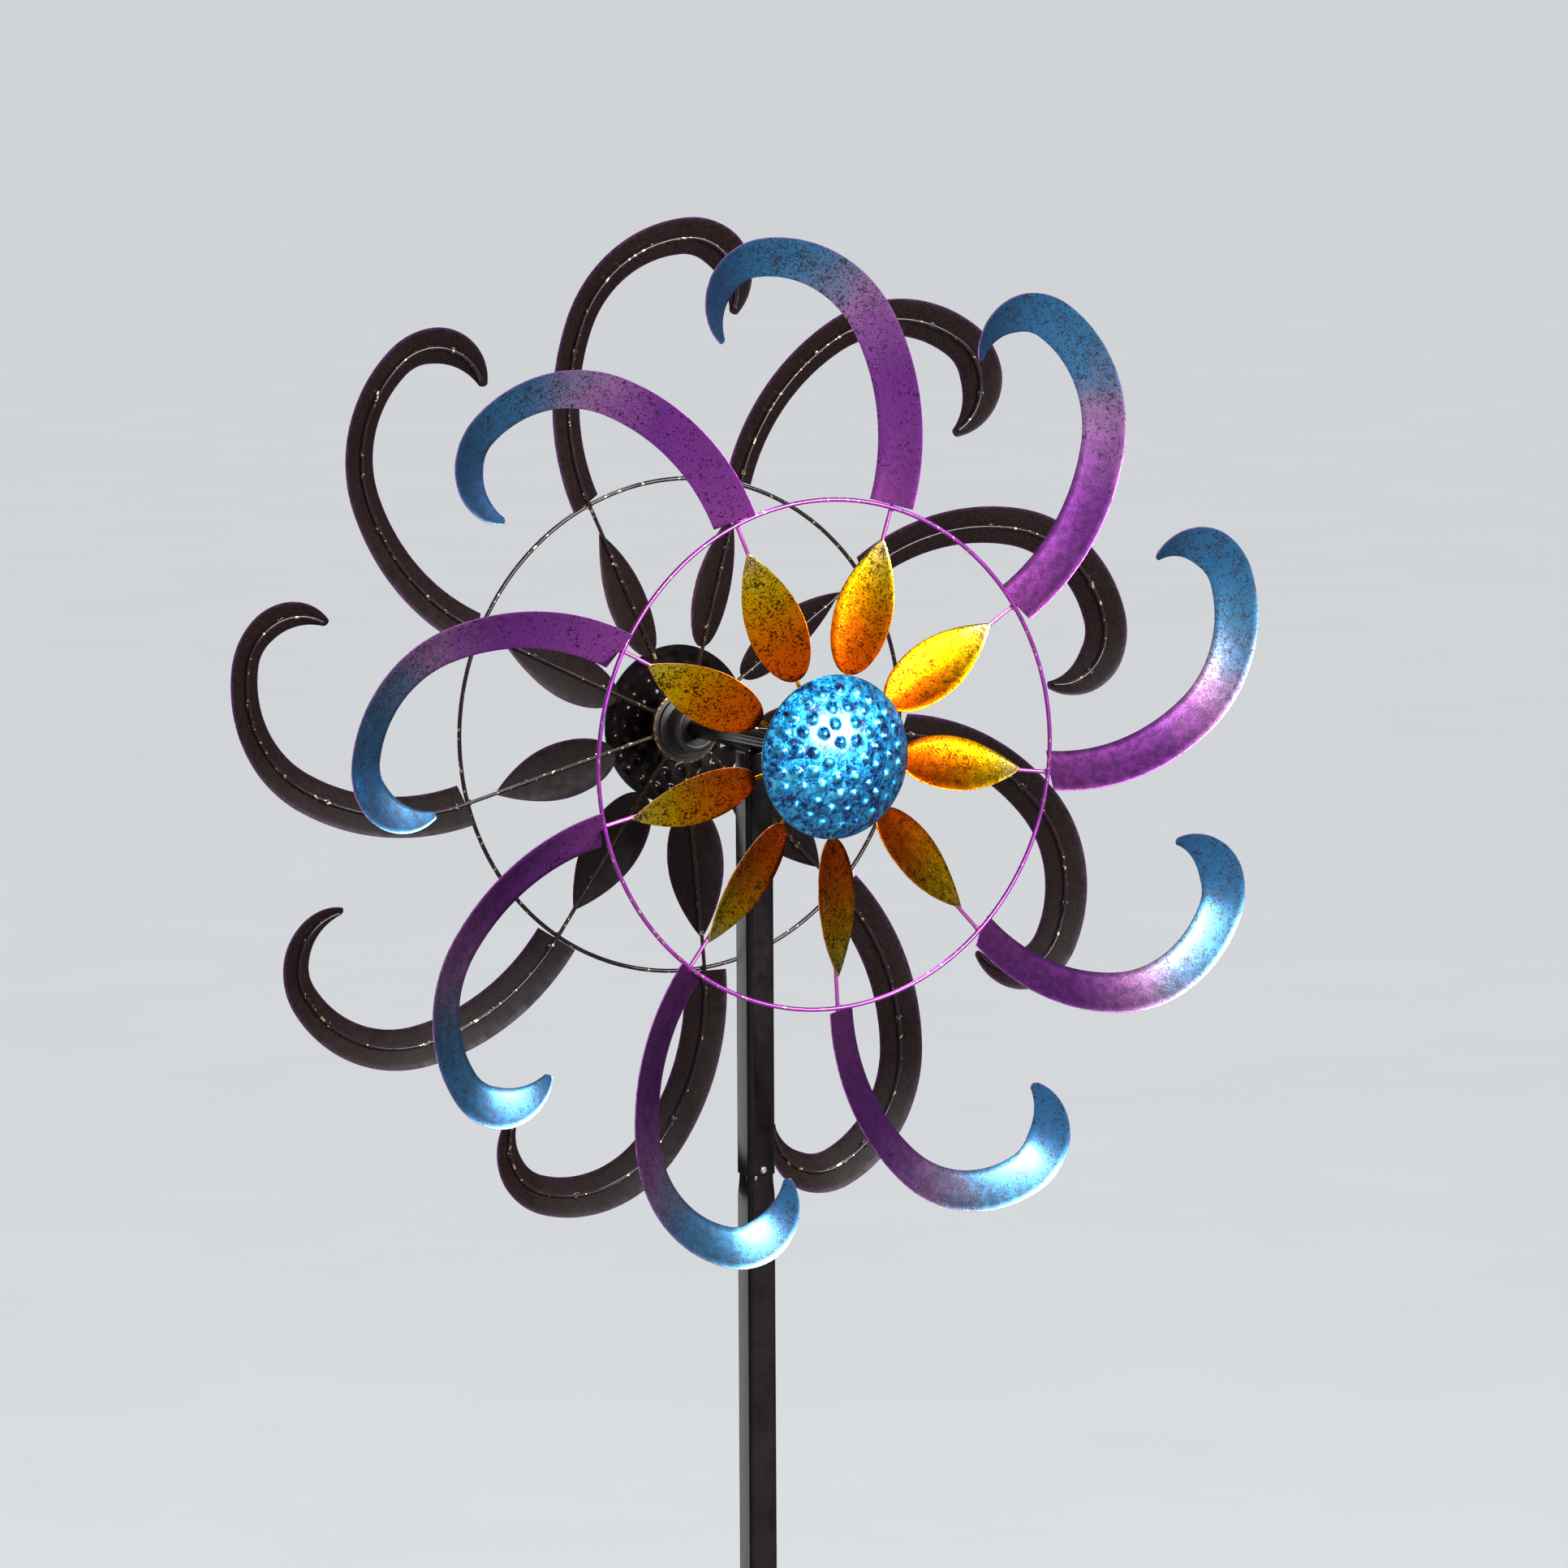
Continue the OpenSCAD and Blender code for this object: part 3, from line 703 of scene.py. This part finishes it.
def blade_front():
    paint = Paint("blade_front_paint", Metallic=1.0, Coat_Roughness=0.27, Coat_IOR=1.75)
    length, _ = paint.along()
    cloud = paint.math("MULTIPLY_ADD", paint.noise(22, 3), 0.16, -0.08)
    mist = paint.math("MULTIPLY_ADD", paint.noise(1.0, 2, 0.7), 0.22, -0.11)
    place = paint.math("ADD", paint.math("ADD", length, cloud), mist)
    gain = 2.9
    colour = paint.ramp(place, [
        (0.0, rgb(124, 52, 124, gain)), (0.14, rgb(108, 44, 118, gain)), (0.30, rgb(100, 38, 114, gain)),
        (0.40, rgb(124, 60, 128, gain)), (0.48, rgb(138, 90, 138, gain)), (0.55, rgb(94, 98, 130, gain)),
        (0.63, rgb(30, 98, 138, gain)), (0.74, rgb(6, 94, 136, gain)), (0.88, rgb(0, 86, 132, gain)),
        (1.0, rgb(0, 78, 122, gain)),
    ])
    amount = paint.ramp(length, [(0.0, (0.62,) * 4), (0.22, (0.6,) * 4), (0.45, (0.85,) * 4),
                                 (0.6, (1.0,) * 4), (0.8, (0.9,) * 4), (1.0, (0.8,) * 4)])
    patch = paint.between(paint.noise(9, 2), 0.3, 0.7, 0.75, 1.15)
    dark = paint.flecks(2.2, paint.math("MULTIPLY", amount, patch))
    colour = paint.mix(paint.math("MULTIPLY", dark, 0.94), colour, rgb(16, 10, 32))
    sheen = paint.between(paint.noise(5, 3), 0.3, 0.7, 0.19, 0.25)
    rough = paint.math("ADD", sheen, paint.math("MULTIPLY", dark, 0.25))
    peel = paint.bump(paint.noise(1.3, 3), 0.12, 0.35)
    return paint.set(Base_Color=colour, Roughness=rough, Normal=peel,
                     Coat_Weight=paint.between(length, 0.25, 0.55, 0.2, 1)).material


def sheet_back():
    paint = Paint("sheet_back_paint", Specular_IOR_Level=0.11)
    _, across = paint.along()
    off_centre = paint.math("ABSOLUTE", paint.math("MULTIPLY_ADD", across, 2, -1))
    ragged = paint.math("ADD", off_centre, paint.math("MULTIPLY_ADD", paint.noise(3, 4, 0.7), 0.5, -0.25))
    spray = paint.between(ragged, 0.86, 1.12, 0, 0.75)
    grain = paint.between(paint.noise(1.2, 3), 0.35, 0.7)
    colour = paint.mix(grain, rgb(16, 9, 8), rgb(30, 20, 18))
    colour = paint.mix(spray, colour, rgb(74, 26, 84))
    rough = paint.between(paint.noise(7, 3), 0.3, 0.7, 0.36, 0.5)
    peel = paint.bump(paint.noise(0.9, 2), 0.08, 0.5)
    return paint.set(Base_Color=colour, Roughness=rough, Normal=peel).material


def sheet_edge(name, light, deep):
    """Cut edge of a sheet in both coats: its paler tone, laid in uneven patches, is a painted highlight of
    the rim catching the light.
    """
    paint = Paint(name, Metallic=0.75, Coat_Weight=0.3)
    # patches of the paler tone: a painted highlight along the rim, the rest in the deeper edge paint
    patchy_rim_highlight = paint.between(paint.noise(4, 4, 0.7), 0.38, 0.62)
    behind = paint.between(paint.facing(), -0.75, 0.15, 0.8, 0)
    colour = paint.mix(behind, paint.mix(patchy_rim_highlight, light, deep), SOOT)
    return paint.set(Base_Color=colour, Roughness=paint.between(patchy_rim_highlight, 0, 1, 0.24, 0.4)).material


def petal_front():
    paint = Paint("petal_front_paint", Metallic=1.0)
    length, _ = paint.along()
    cloud = paint.math("MULTIPLY_ADD", paint.noise(14, 3), 0.3, -0.15)
    mist = paint.math("MULTIPLY_ADD", paint.noise(1.1, 2, 0.7), 0.3, -0.15)
    place = paint.math("ADD", paint.math("ADD", length, cloud), mist)
    gain = 2.7
    colour = paint.ramp(place, [
        (0.0, rgb(166, 58, 2, gain)), (0.3, rgb(178, 70, 2, gain)), (0.52, rgb(192, 94, 2, gain)),
        (0.7, rgb(204, 124, 3, gain)), (0.86, rgb(212, 134, 26, gain)), (1.0, rgb(214, 140, 92, gain)),
    ])
    amount = paint.between(length, 0.0, 0.9, 0.85, 1.0)
    patch = paint.between(paint.noise(8, 2), 0.3, 0.7, 0.75, 1.15)
    dark = paint.flecks(2.2, paint.math("MULTIPLY", amount, patch))
    colour = paint.mix(paint.math("MULTIPLY", dark, 0.92), colour, rgb(50, 16, 2))
    sheen = paint.between(paint.noise(5, 3), 0.3, 0.7, 0.18, 0.22)
    rough = paint.math("ADD", sheen, paint.math("MULTIPLY", dark, 0.1))
    peel = paint.bump(paint.noise(1.2, 3), 0.12, 0.4)
    return paint.set(Base_Color=colour, Roughness=rough, Normal=peel).material


def dome_front():
    paint = Paint("dome_front_paint", Metallic=1.0, Coat_Weight=0.8, Coat_Roughness=0.25, Coat_IOR=1.6)
    cloud = paint.noise(5.5, 4, 0.6, 0.8)
    fine = paint.noise(1.7, 3, 0.6, 1.4)
    mottle = paint.math("MULTIPLY_ADD", fine, 0.4, paint.math("MULTIPLY", cloud, 0.6))
    colour = paint.ramp(mottle, [
        (0.41, rgb(0, 16, 52)), (0.46, rgb(0, 74, 146)), (0.52, rgb(4, 158, 226)), (0.62, rgb(104, 228, 255)),
    ])
    rough = paint.between(mottle, 0.42, 0.62, 0.46, 0.36)
    return paint.set(Base_Color=colour, Roughness=rough, Normal=paint.bump(mottle, 0.9, 0.6)).material


def dark_satin(name, tint, depth, rough):
    """Dark powder coat with a fine grain."""
    paint = Paint(name, Specular_IOR_Level=0.32)
    grain = paint.noise(0.8, 3, 0.6)
    cloud = paint.noise(18, 3)
    blend = paint.math("MULTIPLY_ADD", grain, 0.5, paint.math("MULTIPLY", cloud, 0.5))
    colour = paint.mix(paint.between(blend, 0.35, 0.65), depth, tint)
    roughness = paint.between(paint.noise(6, 3), 0.3, 0.7, *rough)
    return paint.set(Base_Color=colour, Roughness=roughness, Normal=paint.bump(grain, 0.06, 0.6)).material


def wire_paint(name, near, far, near_mm, far_mm):
    """Wire sprayed from its rotor's face: one colour near the hub, another further out, and dark behind, with
    sparse near-white specks as painted glints.
    """
    paint = Paint(name, Coat_Weight=0.2, Coat_Roughness=0.12, Specular_IOR_Level=0.25)
    out = paint.between(paint.axle_distance(), near_mm, far_mm)
    sprayed = paint.mix(out, near, far)
    ragged = paint.math("ADD", paint.facing(), paint.math("MULTIPLY_ADD", paint.noise(6, 2), 0.5, -0.25))
    front = paint.between(ragged, -0.3, 0.1)
    # sparse near-white metallic specks: painted glints along the wire
    specks = paint.between(paint.noise(3.2, 1), 0.66, 0.7)
    colour = paint.mix(specks, paint.mix(front, rgb(26, 19, 20), sprayed), rgb(250, 216, 160))
    rough = paint.between(paint.noise(9, 2), 0.3, 0.7, 0.16, 0.26)
    metal = paint.math("MAXIMUM", paint.math("MULTIPLY", front, 0.8), specks)
    return paint.set(Base_Color=colour, Metallic=metal, Roughness=rough).material


def hub_paint():
    """Dark hub whose rims caught specks of the gold spray."""
    paint = Paint("hub_paint", Coat_Weight=0.25, Coat_Roughness=0.25)
    rim = paint.between(paint.axle_distance(), 21.5, 22.6)
    specks = paint.math("MULTIPLY", paint.between(paint.noise(2.2, 2, 0.6, 1), 0.52, 0.6), rim)
    grain = paint.noise(0.8, 3)
    colour = paint.mix(grain, rgb(20, 15, 16), rgb(44, 34, 36))
    colour = paint.mix(specks, colour, rgb(240, 176, 60))
    return paint.set(Base_Color=colour, Metallic=specks, Roughness=paint.between(specks, 0, 1, 0.36, 0.25),
                     Normal=paint.bump(grain, 0.05, 0.5)).material


def steel(name, light, dark, rough):
    """Bare or plated metal with fine turning marks and faint stains."""
    paint = Paint(name, Metallic=1.0)
    stain = paint.between(paint.noise(4, 4, 0.65), 0.35, 0.7)
    marks = paint.noise(0.5, 2)
    colour = paint.mix(stain, light, dark)
    worn = paint.between(stain, 0, 1, rough, rough + 0.18)
    return paint.set(Base_Color=colour, Roughness=worn, Normal=paint.bump(marks, 0.03, 0.5)).material


# The first tone of each edge is paler, a painted highlight of the sheet's rim catching the light; the second
# is the edge's paint.
BLADE_EDGE = sheet_edge("blade_edge_paint", rgb(206, 120, 206), rgb(120, 52, 140))
PETAL_EDGE = sheet_edge("petal_edge_paint", rgb(244, 196, 130), rgb(190, 96, 40))
MATERIALS = {
    "blade": [blade_front(), BLADE_EDGE, sheet_back()],
    "petal": [petal_front(), PETAL_EDGE, sheet_back()],
    "dome": [dome_front(), sheet_edge("dome_edge_paint", rgb(90, 200, 226), rgb(20, 110, 160)),
             dark_satin("dome_back_paint", rgb(24, 17, 18), rgb(10, 6, 7), (0.12, 0.2))],
    "ring": [wire_paint("ring_paint", rgb(164, 62, 172), rgb(164, 62, 172), 10, 20)],
    "wire": [wire_paint("arm_wire_paint", rgb(255, 170, 14), rgb(196, 90, 186), 74, 112)],
    "hub": [hub_paint()],
    "post": [dark_satin("post_paint", rgb(24, 17, 17), rgb(8, 5, 6), (0.14, 0.2))],
    "zinc": [steel("zinc_steel", rgb(206, 206, 204), rgb(168, 166, 158), 0.28)],
    "bearing": [steel("bearing_steel", rgb(70, 68, 70), rgb(34, 32, 33), 0.3)],
}


# ---- pieces ----------------------------------------------------------------

def add_rotor(rotor):
    body = rotor + "_rotor"
    place = rotor_matrix(rotor)
    wires = Shape()
    one_wire = arm_wire_shape()
    for arm in ARMS:
        turn = Matrix.Rotation(math.radians(FIRST_ARM[rotor] + ARM_STEP * (arm - 1)), 4, "Z")
        wires.merge(one_wire, turn)
        add_piece(f"{rotor}_blade_sheet_{arm}", body, blade_shape(rotor), place @ turn, MATERIALS["blade"],
                  [f"{rotor}_blade_{arm}"])
        add_piece(f"{rotor}_petal_sheet_{arm}", body, petal_shape(rotor), place @ turn, MATERIALS["petal"],
                  [f"{rotor}_petal_{arm}"])
    add_piece(f"{rotor}_wires", body, wires, place, MATERIALS["wire"], [f"{rotor}_arm_wires"])
    add_piece(f"{rotor}_wire_ring", body, ring_shape(), place, MATERIALS["ring"],
              [f"{rotor}_ring"])
    add_piece(f"{rotor}_dome_cap", body, dome_shape(), place, MATERIALS["dome"],
              [f"{rotor}_dome"])
    add_piece(f"{rotor}_turned_hub", body, hub_shape(), place, MATERIALS["hub"],
              [f"{rotor}_hub"])


def add_stand():
    metres = Matrix.Scale(MM, 4)
    add_piece("upper_post", "stand", upper_post_shape(), metres, MATERIALS["post"],
              ["post_upper"])
    add_piece("middle_post", "stand", necked_post_shape(JOINT_HEIGHTS[1], JOINT_HEIGHTS[0]), metres,
              MATERIALS["post"], ["post_middle"])
    add_piece("lower_post", "stand", necked_post_shape(JOINT_HEIGHTS[2], JOINT_HEIGHTS[1]), metres,
              MATERIALS["post"], ["post_lower"])
    add_piece("axle_weld", "stand", axle_weld_shape(), metres, MATERIALS["post"])
    add_piece("fork_welds", "stand", fork_weld_shape(), metres, MATERIALS["post"])
    screws = Shape()
    for height in JOINT_HEIGHTS:
        place = Matrix.Translation((0, -POST_HALF, height + SCREW_ABOVE_JOINT))
        screws.merge(screw_shape(), place @ Matrix.Rotation(math.pi / 2, 4, "X"))
    add_piece("post_screws", "stand", screws, metres, MATERIALS["zinc"], ["joint_screws"])


def paint_cad_node(node, material):
    for material_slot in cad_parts[node].material_slots:
        material_slot.material = material


for rotor_name in ROTORS:
    add_rotor(rotor_name)
add_stand()
for look, node_names in (
    ("bearing", ("front_outer_races", "front_balls", "rear_outer_races", "rear_balls", "inner_races")),
    ("zinc", ("axle_washers", "axle_nuts", "axle_rod")),
    ("post", ("axle_tube", "ground_fork")),
):
    for node_name in node_names:
        paint_cad_node(node_name, MATERIALS[look][0])


# ---- stage, light and camera -----------------------------------------------

AXLE = Vector((0, 0, AXLE_HEIGHT * MM))
GLOW_FROM = (-20, -35)  # azimuth and elevation in degrees, as below
CAMERA_AZIMUTH, CAMERA_ELEVATION, CAMERA_ROLL = -27.97, 6.805, -0.3
CAMERA_DISTANCE = 4.6818
AIM_RIGHT, AIM_DOWN = 0.01817, 0.0267  # where the camera aims, in metres from the axle's middle


def direction(azimuth, elevation):
    """Unit vector from the axle; azimuth 0 is in front, along -Y, and grows towards +X."""
    azimuth, elevation = math.radians(azimuth), math.radians(elevation)
    return Vector((math.sin(azimuth) * math.cos(elevation), -math.cos(azimuth) * math.cos(elevation),
                   math.sin(elevation)))


def add_softbox(name, azimuth, elevation, distance, width, height, power):
    light = bpy.data.lights.new(name, "AREA")
    light.shape, light.size, light.size_y = "ELLIPSE", width, height
    light.energy = power
    box = bpy.data.objects.new(name, light)
    box.location = AXLE + direction(azimuth, elevation) * distance
    box.rotation_euler = direction(azimuth, elevation).to_track_quat("Z", "Y").to_euler()
    box.visible_camera = False
    bpy.context.scene.collection.objects.link(box)


def add_sun(name, azimuth, elevation, strength, spread):
    light = bpy.data.lights.new(name, "SUN")
    light.energy, light.angle = strength, math.radians(spread)
    sun = bpy.data.objects.new(name, light)
    sun.rotation_euler = direction(azimuth, elevation).to_track_quat("Z", "Y").to_euler()
    bpy.context.scene.collection.objects.link(sun)


def add_floor():
    """Plain pale floor, in metres, just under the prongs."""
    half, floor_z = 150, cad_bounds[0][2] - 0.002
    mesh = bpy.data.meshes.new("floor")
    corners = [(-half, -half, floor_z), (half, -half, floor_z), (half, half, floor_z), (-half, half, floor_z)]
    mesh.from_pydata(corners, [], [(0, 1, 2, 3)])
    paint = Paint("floor_paint", Roughness=0.9)
    paint.set(Base_Color=paint.mix(paint.noise(400, 3), rgb(206, 208, 211), rgb(212, 214, 216)))
    mesh.materials.append(paint.material)
    floor = bpy.data.objects.new("floor", mesh)
    floor.visible_glossy = False  # the shiny paint mirrors only the studio
    bpy.context.scene.collection.objects.link(floor)


def add_world():
    """Dim studio that glows from below the front left."""
    world = bpy.data.worlds.new("studio")
    world.use_nodes = True
    nodes, links = world.node_tree.nodes, world.node_tree.links
    glow = nodes.new("ShaderNodeVectorMath")
    glow.operation = "DOT_PRODUCT"
    glow.inputs[1].default_value = direction(*GLOW_FROM)
    links.new(nodes.new("ShaderNodeTexCoord").outputs["Generated"], glow.inputs[0])
    strength = nodes.new("ShaderNodeMapRange")
    for end, along, glow_strength in (("Min", 0.1, 0.11), ("Max", 0.9, 0.42)):
        strength.inputs["From " + end].default_value = along
        strength.inputs["To " + end].default_value = glow_strength
    links.new(glow.outputs["Value"], strength.inputs["Value"])
    background = nodes["Background"]
    background.inputs["Color"].default_value = (0.9, 0.94, 1, 1)
    links.new(strength.outputs[0], background.inputs["Strength"])
    bpy.context.scene.world = world


def add_camera():
    azimuth, roll = math.radians(CAMERA_AZIMUTH), math.radians(CAMERA_ROLL)
    back = direction(CAMERA_AZIMUTH, CAMERA_ELEVATION)
    right = Vector((math.cos(azimuth), math.sin(azimuth), 0))
    up = back.cross(right)
    aim = AXLE + right * AIM_RIGHT - up * AIM_DOWN
    turned_right = right * math.cos(roll) + up * math.sin(roll)
    turned_up = up * math.cos(roll) - right * math.sin(roll)
    data = bpy.data.cameras.new("camera")
    data.lens, data.sensor_width = 177.6, 36
    data.clip_end = 500
    camera = bpy.data.objects.new("camera", data)
    turned = Matrix((turned_right, turned_up, back)).transposed().to_4x4()
    camera.matrix_world = Matrix.Translation(aim + back * CAMERA_DISTANCE) @ turned
    bpy.context.scene.collection.objects.link(camera)
    bpy.context.scene.camera = camera


add_floor()
add_world()
add_sun("overhead_light", 180, 80, 2.9, 25)
add_softbox("key_light", 16.5, 17, 2.8, 2.2, 1.2, 225)
add_softbox("rim_light", -150, -3, 2.3, 1.3, 2.6, 13)
add_camera()
bpy.context.scene.view_settings.view_transform = "Standard"
